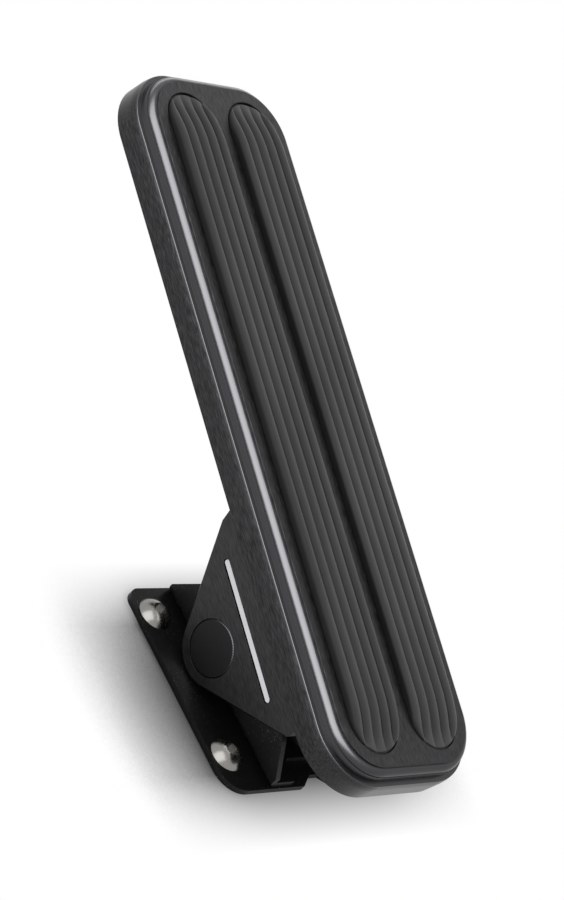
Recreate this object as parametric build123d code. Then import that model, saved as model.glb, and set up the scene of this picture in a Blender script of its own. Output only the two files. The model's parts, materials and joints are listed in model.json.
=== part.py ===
"""Floor-mounted accelerator pedal.

A long machined pedal pad with two ribbed rubber inserts leans over a folded steel
bracket. Its carrier has two cheeks that swing on one cross shaft.

The bracket's underside lies on Z = 0, the origin is the centre of its four floor
screws, +Y runs toward the pad's far end and +X along the pivot shaft.
"""
from build123d import *
from math import acos, asin, atan2, cos, degrees, hypot, pi, radians, sin, tan
import os

# Pedal pad
PAD_WIDTH = 66.0
PAD_LENGTH = 229.6
PAD_THICKNESS = 13.2
PAD_CORNER_R = 19.8
PAD_TILT = 13.85
RIM_DEPTH = 4.8
RIM_LEDGE = 0.9
RIM_ROUND_R = 2.3
FACE_STEP = 0.6
FACE_LEDGE = 0.4
RIM_EDGE_CHAMFER = 0.25
PAD_BACK_CHAMFER = 0.5

# Pockets and their ribbed inserts
POCKET_WIDTH = 21.2
POCKET_END_MARGIN = 8.6
POCKET_DEPTH = 2.5
LAND_WIDTH = 5.8
INSERT_CLEARANCE = 0.2
INSERT_PROUD = 2.9
INSERT_END_PROUD = -0.3
RAMP_LENGTH = 13.5
GROOVE_COUNT = 4
GROOVE_PITCH = 4.26
GROOVE_R = 1.1

# Pivot, measured from the pad's own frame, and the cheeks' room over the base plate
PIVOT_BELOW_FACE = 34.6
PIVOT_FROM_LOW_END = 54.05
PIVOT_FORWARD = 3.8
CHEEK_FLOOR_GAP = 0.6

# Carrier with its two cheeks
CHEEK_THICKNESS = 8.5
CHEEK_R = 12.0
CHEEK_FAR_REACH = 34.9
CHEEK_NEAR_REACH = 33.4
CHEEK_END_HEIGHT = 4.0
CHEEK_END_LEAN = 1.5
CHEEK_CORNER_R = 1.5
CARRIER_WEB = 4.0
CARRIER_CHAMFER = 0.4
CHEEK_GROOVE_WIDTH = 2.3
CHEEK_GROOVE_DEPTH = 1.2
CHEEK_GROOVE_LENGTH = 44.5
CHEEK_GROOVE_OFFSET = 0.1
CHEEK_GROOVE_FROM_PAD = 6.7

# Cable lug under the carrier
LUG_THICKNESS = 11.0
LUG_LENGTH = 14.0
LUG_FROM_PIVOT = 24.0
LUG_DROP = 12.5
LUG_CORNER_R = 3.0
CABLE_HOLE_R = 3.2
CABLE_HOLE_FROM_END = 4.5
CABLE_HOLE_DROP = 7.5

# Screws between carrier and pad
CARRIER_SCREW_R = 3.0
CARRIER_SCREW_HEAD_R = 5.0
CARRIER_SCREW_HEAD_HEIGHT = 3.3
CARRIER_SCREW_KEY = 4.0
CARRIER_SCREW_GRIP = 7.0
CARRIER_SCREW_EAR_GAP = 1.0
CARRIER_SCREW_FAR = 29.0
CARRIER_SCREW_NEAR = 26.0
TAP_CLEARANCE = 0.03
TAP_OVERRUN = 1.0
SCREW_CLEARANCE = 0.3

# Shaft, bushes, rings, caps and sleeve
SHAFT_R = 5.0
SHAFT_PRESS_GAP = 0.03
RUNNING_CLEARANCE = 0.05
BUSH_WALL = 1.5
BUSH_FLANGE_R = 8.5
BUSH_FLANGE = 1.2
BUSH_LENGTH = 4.0
SIDE_PLAY = 0.3
RING_THICKNESS = 1.0
RING_R = 7.5
RING_GROOVE_DEPTH = 0.5
RING_PLAY = 0.2
RING_GAP_ANGLE = 70.0
CAP_R = 8.8
CAP_THICKNESS = 1.5
CAP_GAP = 0.12
CAVITY_R = 7.9
SHAFT_END_GAP = 0.1
SLEEVE_R = 7.5

# Base plate
PLATE_WIDTH = 79.6
PLATE_THICKNESS = 2.0
PLATE_FAR = 34.1
PLATE_NEAR = 37.3
PLATE_FAR_CORNER_R = 4.5
PLATE_NEAR_CORNER_R = 8.5
NOTCH_MOUTH = 14.0
NOTCH_FLOOR = 5.0
NOTCH_DEPTH = 3.6

# Folded pivot bracket
BRACKET_SHEET = 2.0
BRACKET_BEND_R = 2.4
BRACKET_INNER_BEND_R = 0.5
EAR_R = 15.4
EAR_FAR = 33.6
EAR_NEAR = 36.6
EAR_FOOT_FAR = 4.8
EAR_FOOT_NEAR = 5.7
EAR_SHOULDER_FAR = 26.8
EAR_SHOULDER_NEAR = 28.5
EAR_CORNER_R = 1.2
EAR_SHOULDER_R = 6.0
WEB_NOTCH_WIDTH = 26.0
WEB_NOTCH_DEPTH = 8.0
WEB_NOTCH_R = 3.0

# Floor screws
FLOOR_SPACING_X = 66.8
FLOOR_SPACING_Y = 49.6
FLOOR_SCREW_R = 3.17
FLOOR_SCREW_HEAD_R = 5.55
FLOOR_SCREW_HEAD_HEIGHT = 3.35
FLOOR_SCREW_KEY = 3.97
FLOOR_SCREW_STAND_OUT = 16.0
FLOOR_SCREW_NECK_R = 3.6
FLOOR_SCREW_CLEARANCE = 0.33
SCREW_TIP_CHAMFER = 0.8
KEY_DEPTH_SHARE = 0.6

# Rivets between bracket and base plate
RIVET_R = 2.0
RIVET_HEAD_R = 3.5
RIVET_HEAD_HEIGHT = 1.4
RIVET_FROM_EAR = 5.0
RIVET_FAR_Y = 30.0
RIVET_NEAR_Y = -23.5

# Return springs
SPRING_WIRE_R = 1.0
SPRING_MEAN_R = 9.2
SPRING_PITCH = 2.25
SPRING_FULL_TURNS = 3
SPRING_EAR_GAP = 2.3
SPRING_LEG_REACH = 21.0

# Travel and its two stops
PEDAL_TRAVEL = 18.0
STOP_GAP = 0.3
BUMPER_R = 5.5
BUMPER_NECK_R = 3.0
BUMPER_NECK_GAP = 0.1
STOP_SCREW_R = 4.0
STOP_SCREW_Y = 22.0
STOP_HEAD_ACROSS_FLATS = 13.0
STOP_HEAD_HEIGHT = 5.3
STOP_NUT_HEIGHT = 6.5
STOP_END_ABOVE_FLOOR = 0.3

# Places worked out from the sizes above
BRACKET_FLOOR = PLATE_THICKNESS + BRACKET_SHEET
PIVOT_HEIGHT = PLATE_THICKNESS + CHEEK_FLOOR_GAP + CHEEK_R
CHEEK_INNER_X = PAD_WIDTH / 2 - CHEEK_THICKNESS
EAR_OUTER_X = CHEEK_INNER_X - BUSH_FLANGE - SIDE_PLAY
EAR_INNER_X = EAR_OUTER_X - BRACKET_SHEET
CARRIER_SCREW_HALF_SPAN = EAR_INNER_X - CARRIER_SCREW_EAR_GAP - CARRIER_SCREW_HEAD_R
RIVET_HALF_SPAN = EAR_INNER_X - RIVET_FROM_EAR
SPRING_FIRST_TURN_X = EAR_INNER_X - SPRING_EAR_GAP - SPRING_WIRE_R
PAD_BACK_FROM_PIVOT = PIVOT_BELOW_FACE - PAD_THICKNESS
WEB_FROM_PIVOT = PAD_BACK_FROM_PIVOT - CARRIER_WEB
LUG_END_FROM_PIVOT = WEB_FROM_PIVOT - LUG_DROP
BUSH_BORE_R = SHAFT_R + RUNNING_CLEARANCE
BUSH_OUTER_R = BUSH_BORE_R + BUSH_WALL
BUSH_END_X = CHEEK_INNER_X + BUSH_LENGTH
RING_INNER_R = SHAFT_R - RING_GROOVE_DEPTH
RING_X = BUSH_END_X + RING_PLAY
CAP_INNER_X = PAD_WIDTH / 2 - CAP_THICKNESS
SHAFT_END_X = CAP_INNER_X - SHAFT_END_GAP
POCKET_LENGTH = PAD_LENGTH - 2 * POCKET_END_MARGIN
POCKET_CENTRE_X = (LAND_WIDTH + POCKET_WIDTH) / 2

# Local planes: the pedal's own, turned with the pad about the pivot, and a side view
PIVOT = Vector(0, PIVOT_FORWARD, PIVOT_HEIGHT)
PEDAL = Location(PIVOT, (PAD_TILT, 0, 0))
PAD_FACE = PEDAL * Location((0, PAD_LENGTH / 2 - PIVOT_FROM_LOW_END, PIVOT_BELOW_FACE))
SIDE_VIEW = Plane(origin=(0, 0, 0), x_dir=(0, 1, 0), z_dir=(1, 0, 0))


def slab(width, length, corner_r, low, high):
    """A plate with rounded corners, from one height to another."""
    outline = RectangleRounded(width, length, corner_r)
    return Pos(0, 0, low) * extrude(outline, high - low)


def side_extrude(outline, x_low, x_high):
    """Extrude an outline drawn in the side view (Y to the right, Z up) along X."""
    return Pos(x_low, 0, 0) * extrude(SIDE_VIEW * outline, x_high - x_low)


def disc(r, x_low, x_high):
    """A round disc on the X axis."""
    return side_extrude(Circle(r), x_low, x_high)


def tangent_point(point, r, side):
    """Where a line from the point touches a circle about the origin."""
    turn = acos(r / hypot(*point))
    angle = atan2(point[1], point[0]) + side * turn
    return (r * cos(angle), r * sin(angle))


def mirrored(solid):
    """The same piece on the other side of the pedal."""
    return mirror(solid, about=Plane.YZ)


def hexagon_prism(across_flats, low, high):
    """A hexagon bar along Z, its corners chamfered at the top end."""
    corner_r = across_flats / 2 / cos(pi / 6)
    bar = Pos(0, 0, low) * extrude(RegularPolygon(corner_r, 6), high - low)
    cone_r = corner_r + high - low
    cutter = Cone(cone_r, across_flats / 2, cone_r - across_flats / 2)
    return bar & (Pos(0, 0, high - (cone_r - across_flats / 2) / 2) * cutter)


def button_screw(r, head_r, head_height, key, grip, neck_r=None, neck=0):
    """A button-head screw with a hexagon socket, its head on Z = 0 and shank below.

    A neck is the plain part of the shank under the head, a little thicker than the thread.
    """
    ball_r = (head_r**2 + head_height**2) / (2 * head_height)
    head = Cylinder(head_r, head_height, align=(Align.CENTER, Align.CENTER, Align.MIN))
    head &= Pos(0, 0, head_height - ball_r) * Sphere(ball_r)
    socket_r = key / 2 / cos(pi / 6)
    socket_depth = head_height * KEY_DEPTH_SHARE
    socket = extrude(RegularPolygon(socket_r, 6), socket_depth)
    shank = Cylinder(r, grip, align=(Align.CENTER, Align.CENTER, Align.MAX))
    shank = chamfer(shank.edges().group_by(Axis.Z)[0], SCREW_TIP_CHAMFER)
    if neck:
        shank += Cylinder(neck_r, neck, align=(Align.CENTER, Align.CENTER, Align.MAX))
    return head + shank - Pos(0, 0, head_height - socket_depth) * socket


def pedal_pad():
    """Machined pad: square side, ledge, round-over and a stepped flat face."""
    inset_face = RIM_LEDGE + RIM_ROUND_R + FACE_LEDGE
    body = slab(PAD_WIDTH, PAD_LENGTH, PAD_CORNER_R, -PAD_THICKNESS, -RIM_DEPTH)
    body = chamfer(body.edges().group_by(Axis.Z)[-1], RIM_EDGE_CHAMFER)
    body = chamfer(body.edges().group_by(Axis.Z)[0], PAD_BACK_CHAMFER)
    raised = slab(PAD_WIDTH - 2 * RIM_LEDGE, PAD_LENGTH - 2 * RIM_LEDGE,
                  PAD_CORNER_R - RIM_LEDGE, -RIM_DEPTH, -FACE_STEP)
    raised = fillet(raised.edges().group_by(Axis.Z)[-1], RIM_ROUND_R)
    face = slab(PAD_WIDTH - 2 * inset_face, PAD_LENGTH - 2 * inset_face,
                PAD_CORNER_R - inset_face, -FACE_STEP, 0)
    pad = body + raised + face
    pocket = Pos(0, 0, -POCKET_DEPTH) * extrude(
        SlotOverall(POCKET_LENGTH, POCKET_WIDTH, rotation=90), POCKET_DEPTH)
    for x in (-POCKET_CENTRE_X, POCKET_CENTRE_X):
        pad -= Pos(x, 0, 0) * pocket
    pad = PAD_FACE * pad
    tap = Cylinder(CARRIER_SCREW_R + TAP_CLEARANCE, CARRIER_SCREW_GRIP - CARRIER_WEB + TAP_OVERRUN,
                   align=(Align.CENTER, Align.CENTER, Align.MIN))
    for place in carrier_screw_places(PAD_BACK_FROM_PIVOT):
        pad -= PEDAL * place * tap
    return pad


def ribbed_insert(centre_x):
    """Rubber insert: round ends that ramp down, with grooves along its whole length."""
    length = POCKET_LENGTH - 2 * INSERT_CLEARANCE
    width = POCKET_WIDTH - 2 * INSERT_CLEARANCE
    half = length / 2
    blank = Pos(0, 0, -POCKET_DEPTH) * extrude(
        SlotOverall(length, width, rotation=90), POCKET_DEPTH + INSERT_PROUD)
    ramp_start = half - RAMP_LENGTH
    profile = Polygon((-half, -POCKET_DEPTH), (half, -POCKET_DEPTH), (half, INSERT_END_PROUD),
                      (ramp_start, INSERT_PROUD), (-ramp_start, INSERT_PROUD),
                      (-half, INSERT_END_PROUD), align=None)
    blank &= side_extrude(profile, -width / 2, width / 2)
    ramp_fall = INSERT_PROUD - INSERT_END_PROUD
    ramp_angle = degrees(atan2(ramp_fall, RAMP_LENGTH))
    ramp_run = hypot(ramp_fall, RAMP_LENGTH) + GROOVE_R
    bar_end = (Align.CENTER, Align.CENTER, Align.MIN)
    straight = Rot(90, 0, 0) * Cylinder(GROOVE_R, 2 * ramp_start)
    slope = Rot(-90 - ramp_angle, 0, 0) * Cylinder(GROOVE_R, ramp_run, align=bar_end)
    slope = Pos(0, ramp_start, 0) * (slope + Sphere(GROOVE_R))
    cutter = straight + slope + mirror(slope, about=Plane.XZ)
    for index in range(GROOVE_COUNT):
        x = (index - (GROOVE_COUNT - 1) / 2) * GROOVE_PITCH
        blank -= Pos(x, 0, INSERT_PROUD) * cutter
    return PAD_FACE * (Pos(centre_x, 0, 0) * blank)


def carrier_screw_places(height):
    """The four carrier screws, in the pedal's own frame, at a height above the pivot."""
    return [Location((x, y, height))
            for x in (-CARRIER_SCREW_HALF_SPAN, CARRIER_SCREW_HALF_SPAN)
            for y in (-CARRIER_SCREW_NEAR, CARRIER_SCREW_FAR)]


def cheek_outline():
    """A cheek's outline about the pivot: round foot, two straight flanks, square top."""
    top = PAD_BACK_FROM_PIVOT
    far_top = (CHEEK_FAR_REACH, top)
    far_low = (CHEEK_FAR_REACH - CHEEK_END_LEAN, top - CHEEK_END_HEIGHT)
    near_low = (-CHEEK_NEAR_REACH, top - CHEEK_END_HEIGHT)
    near_top = (-CHEEK_NEAR_REACH, top)
    far_foot = tangent_point(far_low, CHEEK_R, -1)
    near_foot = tangent_point(near_low, CHEEK_R, 1)
    edges = Polyline(far_foot, far_low, far_top, near_top, near_low, near_foot)
    edges += ThreePointArc(near_foot, (0, -CHEEK_R), far_foot)
    face = make_face(edges)
    corners = [face.vertices().sort_by_distance((*point, 0))[0]
               for point in (far_low, near_low)]
    return fillet(corners, CHEEK_CORNER_R)


def pivot_carrier():
    """One machined piece: web under the pad, two cheeks on the shaft and the cable lug."""
    half = PAD_WIDTH / 2
    block = side_extrude(cheek_outline(), -half, half)
    block = chamfer(block.edges().group_by(Axis.X)[0] + block.edges().group_by(Axis.X)[-1],
                    CARRIER_CHAMFER)
    room = Box(2 * CHEEK_INNER_X, 4 * CHEEK_FAR_REACH, WEB_FROM_PIVOT + 2 * CHEEK_R,
               align=(Align.CENTER, Align.CENTER, Align.MAX))
    carrier = block - Pos(0, 0, WEB_FROM_PIVOT) * room
    lug_outline = Pos(-LUG_FROM_PIVOT, WEB_FROM_PIVOT - LUG_DROP / 2) * RectangleRounded(
        LUG_LENGTH, LUG_DROP, LUG_CORNER_R)
    root = Pos(-LUG_FROM_PIVOT, WEB_FROM_PIVOT - LUG_CORNER_R) * Rectangle(
        LUG_LENGTH, 2 * LUG_CORNER_R + CARRIER_WEB)
    lug = side_extrude(lug_outline + root, -LUG_THICKNESS / 2, LUG_THICKNESS / 2)
    hole = Pos(-cable_hole_reach(), cable_hole_height()) * Circle(CABLE_HOLE_R)
    carrier += lug
    carrier -= side_extrude(hole, -LUG_THICKNESS, LUG_THICKNESS)
    for side in (-1, 1):
        outer = sorted((side * CHEEK_INNER_X, side * half))
        cavity = sorted((side * BUSH_END_X, side * half))
        cap_seat = sorted((side * CAP_INNER_X, side * half))
        carrier -= disc(BUSH_OUTER_R, *outer)
        carrier -= disc(CAVITY_R, *cavity)
        carrier -= disc(CAP_R, *cap_seat)
        groove = SIDE_VIEW * (Pos(CHEEK_GROOVE_OFFSET, PAD_BACK_FROM_PIVOT - CHEEK_GROOVE_FROM_PAD)
                              * SlotOverall(CHEEK_GROOVE_LENGTH, CHEEK_GROOVE_WIDTH))
        low = min(side * half, side * (half - CHEEK_GROOVE_DEPTH))
        carrier -= Pos(low, 0, 0) * extrude(groove, CHEEK_GROOVE_DEPTH)
    hole_r = CARRIER_SCREW_R + SCREW_CLEARANCE
    for place in carrier_screw_places(WEB_FROM_PIVOT + CARRIER_WEB / 2):
        carrier -= place * Cylinder(hole_r, 2 * CARRIER_WEB)
    return PEDAL * carrier


def cable_hole_reach():
    """How far the cable hole lies in front of the pivot, along the pad."""
    return LUG_FROM_PIVOT + LUG_LENGTH / 2 - CABLE_HOLE_FROM_END


def cable_hole_height():
    """How far the cable hole lies above the pivot, square to the pad."""
    return WEB_FROM_PIVOT - CABLE_HOLE_DROP


def carrier_screws():
    """Four button-head screws up through the carrier's web into the pad."""
    screw = Rot(180, 0, 0) * button_screw(CARRIER_SCREW_R, CARRIER_SCREW_HEAD_R,
                                          CARRIER_SCREW_HEAD_HEIGHT, CARRIER_SCREW_KEY,
                                          CARRIER_SCREW_GRIP)
    return [PEDAL * place * screw for place in carrier_screw_places(WEB_FROM_PIVOT)]


def bush():
    """Flanged bush pressed into the left cheek from inside."""
    sleeve = disc(BUSH_OUTER_R, -BUSH_END_X, -CHEEK_INNER_X)
    flange = disc(BUSH_FLANGE_R, -CHEEK_INNER_X, -CHEEK_INNER_X + BUSH_FLANGE)
    bore = disc(BUSH_BORE_R, -BUSH_END_X, -CHEEK_INNER_X + BUSH_FLANGE)
    return PEDAL * (sleeve + flange - bore)


def cap():
    """Flush cap over the left end of the shaft."""
    plate = disc(CAP_R - CAP_GAP, -PAD_WIDTH / 2, -CAP_INNER_X)
    return PEDAL * plate


def retaining_ring():
    """Open ring in the shaft's left groove, outside the bush."""
    ring = Circle(RING_R) - Circle(RING_INNER_R)
    mouth = Polygon((0, 0), (2 * RING_R, 2 * RING_R * tan(radians(RING_GAP_ANGLE / 2))),
                    (2 * RING_R, -2 * RING_R * tan(radians(RING_GAP_ANGLE / 2))), align=None)
    return Pos(PIVOT) * side_extrude(ring - mouth, -RING_X - RING_THICKNESS, -RING_X)


def pivot_shaft():
    """Cross shaft through both ears, with a ring groove near each end."""
    shaft = disc(SHAFT_R, -SHAFT_END_X, SHAFT_END_X)
    shaft = chamfer(shaft.edges().filter_by(GeomType.CIRCLE), RING_GROOVE_DEPTH / 2)
    groove = side_extrude(Circle(SHAFT_R) - Circle(RING_INNER_R), RING_X, RING_X + RING_THICKNESS)
    return Pos(PIVOT) * (shaft - groove - mirrored(groove))


def spacer_sleeve():
    """Tube on the shaft between the ears; the springs coil around it."""
    tube = disc(SLEEVE_R, -EAR_INNER_X, EAR_INNER_X)
    return Pos(PIVOT) * (tube - disc(SHAFT_R + SHAFT_PRESS_GAP, -EAR_INNER_X, EAR_INNER_X))


def leg_angles(end, mean_r):
    """Direction of a leg from the coil to its end point, and its tangent length."""
    reach = hypot(*end)
    return degrees(atan2(end[1], end[0])), degrees(asin(mean_r / reach)), third_side(reach, mean_r)


def third_side(long_side, short_side):
    """The third side of a right triangle."""
    return (long_side**2 - short_side**2) ** 0.5


def return_spring():
    """Left torsion spring: one leg on the bracket's floor, one under the carrier's web."""
    low_end = (SPRING_LEG_REACH, BRACKET_FLOOR + SPRING_WIRE_R - PIVOT_HEIGHT)
    high_end = Vector(SPRING_LEG_REACH, WEB_FROM_PIVOT - SPRING_WIRE_R, 0).rotate(Axis.Z, PAD_TILT)
    low_angle, low_turn, low_length = leg_angles(low_end, SPRING_MEAN_R)
    high_angle, high_turn, high_length = leg_angles((high_end.X, high_end.Y), SPRING_MEAN_R)
    start = low_angle + low_turn - 90
    finish = high_angle - high_turn + 90
    swept = (start - finish) % 360 + 360 * SPRING_FULL_TURNS
    coil = Helix(SPRING_PITCH, SPRING_PITCH * swept / 360, SPRING_MEAN_R, lefthand=True)
    low_leg = Line(coil @ 0 - (coil % 0) * low_length, coil @ 0)
    high_leg = Line(coil @ 1, coil @ 1 + (coil % 1) * high_length)
    path = Wire([low_leg, coil, high_leg])
    section = Plane(origin=path @ 0, z_dir=path % 0) * Circle(SPRING_WIRE_R)
    wire = sweep(section, path=path)
    across = Plane(origin=(-SPRING_FIRST_TURN_X, PIVOT_FORWARD, PIVOT_HEIGHT),
                   x_dir=(0, 1, 0), z_dir=(1, 0, 0))
    return across.location * Rot(0, 0, start) * wire


def base_plate():
    """Flat plate on the floor with four screw holes and a notch for the cable."""
    half = PLATE_WIDTH / 2
    outline = Polygon((-half, -PLATE_NEAR), (-NOTCH_MOUTH / 2, -PLATE_NEAR),
                      (-NOTCH_FLOOR / 2, NOTCH_DEPTH - PLATE_NEAR),
                      (NOTCH_FLOOR / 2, NOTCH_DEPTH - PLATE_NEAR),
                      (NOTCH_MOUTH / 2, -PLATE_NEAR), (half, -PLATE_NEAR),
                      (half, PLATE_FAR), (-half, PLATE_FAR), align=None)
    corners = outline.vertices()
    near = [corners.sort_by_distance((x, -PLATE_NEAR, 0))[0] for x in (-half, half)]
    outline = fillet(near, PLATE_NEAR_CORNER_R)
    corners = outline.vertices()
    far = [corners.sort_by_distance((x, PLATE_FAR, 0))[0] for x in (-half, half)]
    outline = fillet(far, PLATE_FAR_CORNER_R)
    holes = GridLocations(FLOOR_SPACING_X, FLOOR_SPACING_Y, 2, 2)
    outline -= holes * Circle(FLOOR_SCREW_NECK_R + FLOOR_SCREW_CLEARANCE)
    outline -= [place * Circle(RIVET_R) for place in rivet_places()]
    outline -= Pos(0, STOP_SCREW_Y) * Circle(STOP_SCREW_R + TAP_CLEARANCE)
    return extrude(outline, PLATE_THICKNESS)


def ear_outline():
    """An ear's outline in the side view: low feet, slanted ends up to two shoulders, round top."""
    far_foot = (EAR_FAR, EAR_FOOT_FAR)
    near_foot = (-EAR_NEAR, EAR_FOOT_NEAR)
    far_shoulder = (EAR_SHOULDER_FAR, PIVOT_HEIGHT)
    near_shoulder = (-EAR_SHOULDER_NEAR, PIVOT_HEIGHT)
    far_top = tangent_point((EAR_SHOULDER_FAR - PIVOT_FORWARD, 0), EAR_R, 1)
    near_top = tangent_point((-EAR_SHOULDER_NEAR - PIVOT_FORWARD, 0), EAR_R, -1)
    far_top = (far_top[0] + PIVOT_FORWARD, far_top[1] + PIVOT_HEIGHT)
    near_top = (near_top[0] + PIVOT_FORWARD, near_top[1] + PIVOT_HEIGHT)
    edges = Polyline(near_top, near_shoulder, near_foot, (-EAR_NEAR, PLATE_THICKNESS),
                     (EAR_FAR, PLATE_THICKNESS), far_foot, far_shoulder, far_top)
    edges += ThreePointArc(far_top, (PIVOT_FORWARD, PIVOT_HEIGHT + EAR_R), near_top)
    face = make_face(edges)
    corners = [face.vertices().sort_by_distance((*point, 0))[0] for point in (far_foot, near_foot)]
    face = fillet(corners, EAR_CORNER_R)
    shoulders = [face.vertices().sort_by_distance((*point, 0))[0]
                 for point in (far_shoulder, near_shoulder)]
    return fillet(shoulders, EAR_SHOULDER_R)


def pivot_bracket():
    """Folded channel on the base plate: a web and two tapered ears that hold the shaft."""
    full = side_extrude(ear_outline(), -EAR_OUTER_X, EAR_OUTER_X)
    bends = full.edges().filter_by(Axis.Y).group_by(Axis.Z)[0]
    full = fillet(bends, BRACKET_BEND_R)
    height = PIVOT_HEIGHT + 2 * EAR_R
    middle = (EAR_FAR - EAR_NEAR) / 2
    room = Box(2 * EAR_INNER_X, 2 * (EAR_FAR + EAR_NEAR), height,
               align=(Align.CENTER, Align.CENTER, Align.MIN))
    room = fillet(room.edges().filter_by(Axis.Y).group_by(Axis.Z)[0], BRACKET_INNER_BEND_R)
    bracket = full - Pos(0, middle, BRACKET_FLOOR) * room
    notch = RectangleRounded(WEB_NOTCH_WIDTH, 2 * WEB_NOTCH_DEPTH, WEB_NOTCH_R)
    bracket -= Pos(0, -EAR_NEAR, PLATE_THICKNESS) * extrude(notch, BRACKET_SHEET)
    bracket -= Pos(PIVOT) * disc(SHAFT_R + SHAFT_PRESS_GAP, -EAR_OUTER_X, EAR_OUTER_X)
    through = Cylinder(RIVET_R, BRACKET_FLOOR * 2)
    for place in rivet_places():
        bracket -= place * through
    bracket -= Pos(0, STOP_SCREW_Y, 0) * Cylinder(STOP_SCREW_R + TAP_CLEARANCE, 2 * BRACKET_FLOOR)
    neck_y, _ = bumper_seat()
    neck_r = BUMPER_NECK_R + BUMPER_NECK_GAP
    bracket -= Pos(0, neck_y, BRACKET_FLOOR) * Cylinder(neck_r, 2 * BRACKET_SHEET)
    return bracket


def rivet_places():
    """The four rivets, seen from above."""
    places = []
    for side in (-1, 1):
        places.append(Location((side * RIVET_HALF_SPAN, RIVET_FAR_Y, 0)))
        places.append(Location((side * RIVET_HALF_SPAN, RIVET_NEAR_Y, 0)))
    return places


def bracket_rivets():
    """Round-head rivets, flush under the base plate."""
    ball_r = (RIVET_HEAD_R**2 + RIVET_HEAD_HEIGHT**2) / (2 * RIVET_HEAD_HEIGHT)
    on_top = (Align.CENTER, Align.CENTER, Align.MIN)
    head = Cylinder(RIVET_HEAD_R, RIVET_HEAD_HEIGHT, align=on_top)
    head &= Pos(0, 0, RIVET_HEAD_HEIGHT - ball_r) * Sphere(ball_r)
    rivet = Pos(0, 0, BRACKET_FLOOR) * head + Cylinder(RIVET_R, BRACKET_FLOOR, align=on_top)
    return [place * rivet for place in rivet_places()]


def floor_screws():
    """Four button-head screws with their shanks standing out below the floor plane."""
    screw = button_screw(FLOOR_SCREW_R, FLOOR_SCREW_HEAD_R, FLOOR_SCREW_HEAD_HEIGHT,
                         FLOOR_SCREW_KEY, PLATE_THICKNESS + FLOOR_SCREW_STAND_OUT,
                         FLOOR_SCREW_NECK_R, PLATE_THICKNESS)
    places = GridLocations(FLOOR_SPACING_X, FLOOR_SPACING_Y, 2, 2)
    return [Pos(0, 0, PLATE_THICKNESS) * place * screw for place in places]


def bumper_seat():
    """Where the lug's end comes down at rest: its Y, and the room above the bracket floor."""
    end = Vector(0, -LUG_FROM_PIVOT, LUG_END_FROM_PIVOT).rotate(Axis.X, PAD_TILT)
    return PIVOT_FORWARD + end.Y, PIVOT_HEIGHT + end.Z


def rest_bumper():
    """Rubber buffer with a rounded crown; the lug rests on it when the pedal is up."""
    y, contact = bumper_seat()
    crown_r = BUMPER_R
    # The crown is a ball whose nearest point to the slanted lug end is one gap away.
    centre = contact - (crown_r + STOP_GAP) / cos(radians(PAD_TILT))
    column = Cylinder(BUMPER_R, centre - BRACKET_FLOOR,
                      align=(Align.CENTER, Align.CENTER, Align.MIN))
    column = Pos(0, 0, BRACKET_FLOOR) * column + Pos(0, 0, centre) * Sphere(crown_r, arc_size1=0)
    neck = Cylinder(BUMPER_NECK_R, BRACKET_SHEET, align=(Align.CENTER, Align.CENTER, Align.MAX))
    return Pos(0, y, 0) * (column + Pos(0, 0, BRACKET_FLOOR) * neck)


def stop_height():
    """Height of the full-travel stop, one gap below the carrier's web at that limit."""
    lean = PAD_TILT - PEDAL_TRAVEL
    far_edge = STOP_SCREW_Y - PIVOT_FORWARD + STOP_HEAD_ACROSS_FLATS / 2 / cos(pi / 6)
    web = WEB_FROM_PIVOT / cos(radians(lean)) + far_edge * tan(radians(lean))
    return PIVOT_HEIGHT + web - STOP_GAP


def stop_screw():
    """Adjustable full-travel stop, head up."""
    top = stop_height()
    low = top - STOP_HEAD_HEIGHT
    head = hexagon_prism(STOP_HEAD_ACROSS_FLATS, low, top)
    shank = Cylinder(STOP_SCREW_R, low - STOP_END_ABOVE_FLOOR,
                     align=(Align.CENTER, Align.CENTER, Align.MIN))
    return Pos(0, STOP_SCREW_Y, 0) * (head + Pos(0, 0, STOP_END_ABOVE_FLOOR) * shank)


def stop_nut():
    """Lock nut of the stop screw, tight on the bracket's floor."""
    nut = hexagon_prism(STOP_HEAD_ACROSS_FLATS, BRACKET_FLOOR, BRACKET_FLOOR + STOP_NUT_HEIGHT)
    bore = Cylinder(STOP_SCREW_R + TAP_CLEARANCE, 4 * (BRACKET_FLOOR + STOP_NUT_HEIGHT))
    return Pos(0, STOP_SCREW_Y, 0) * (nut - bore)


def make_parts():
    """Every sub-part by its node name."""
    spring = return_spring()
    return {
        "base_plate": base_plate(),
        "pivot_bracket": pivot_bracket(),
        "bracket_rivets": Compound(children=bracket_rivets()),
        "floor_screws": Compound(children=floor_screws()),
        "pivot_shaft": pivot_shaft(),
        "ring_left": retaining_ring(),
        "ring_right": mirrored(retaining_ring()),
        "spacer_sleeve": spacer_sleeve(),
        "spring_left": spring,
        "spring_right": mirrored(spring),
        "rest_bumper": rest_bumper(),
        "stop_screw": stop_screw(),
        "stop_nut": stop_nut(),
        "pedal_pad": pedal_pad(),
        "insert_left": ribbed_insert(-POCKET_CENTRE_X),
        "insert_right": ribbed_insert(POCKET_CENTRE_X),
        "pivot_carrier": pivot_carrier(),
        "carrier_screws": Compound(children=carrier_screws()),
        "bush_left": bush(),
        "bush_right": mirrored(bush()),
        "cap_left": cap(),
        "cap_right": mirrored(cap()),
    }


os.makedirs("parts", exist_ok=True)
for name, solid in make_parts().items():
    export_step(solid, f"parts/{name}.step")
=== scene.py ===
"""Looks of a floor-mounted accelerator pedal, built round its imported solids.

Lengths are metres, as in the frame, and a size written in millimetres is turned to
metres by MM or by its property. A name that ends in _MM holds millimetres.
"""
import json
import math

import bmesh
import bpy
from mathutils import Matrix, Vector


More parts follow.
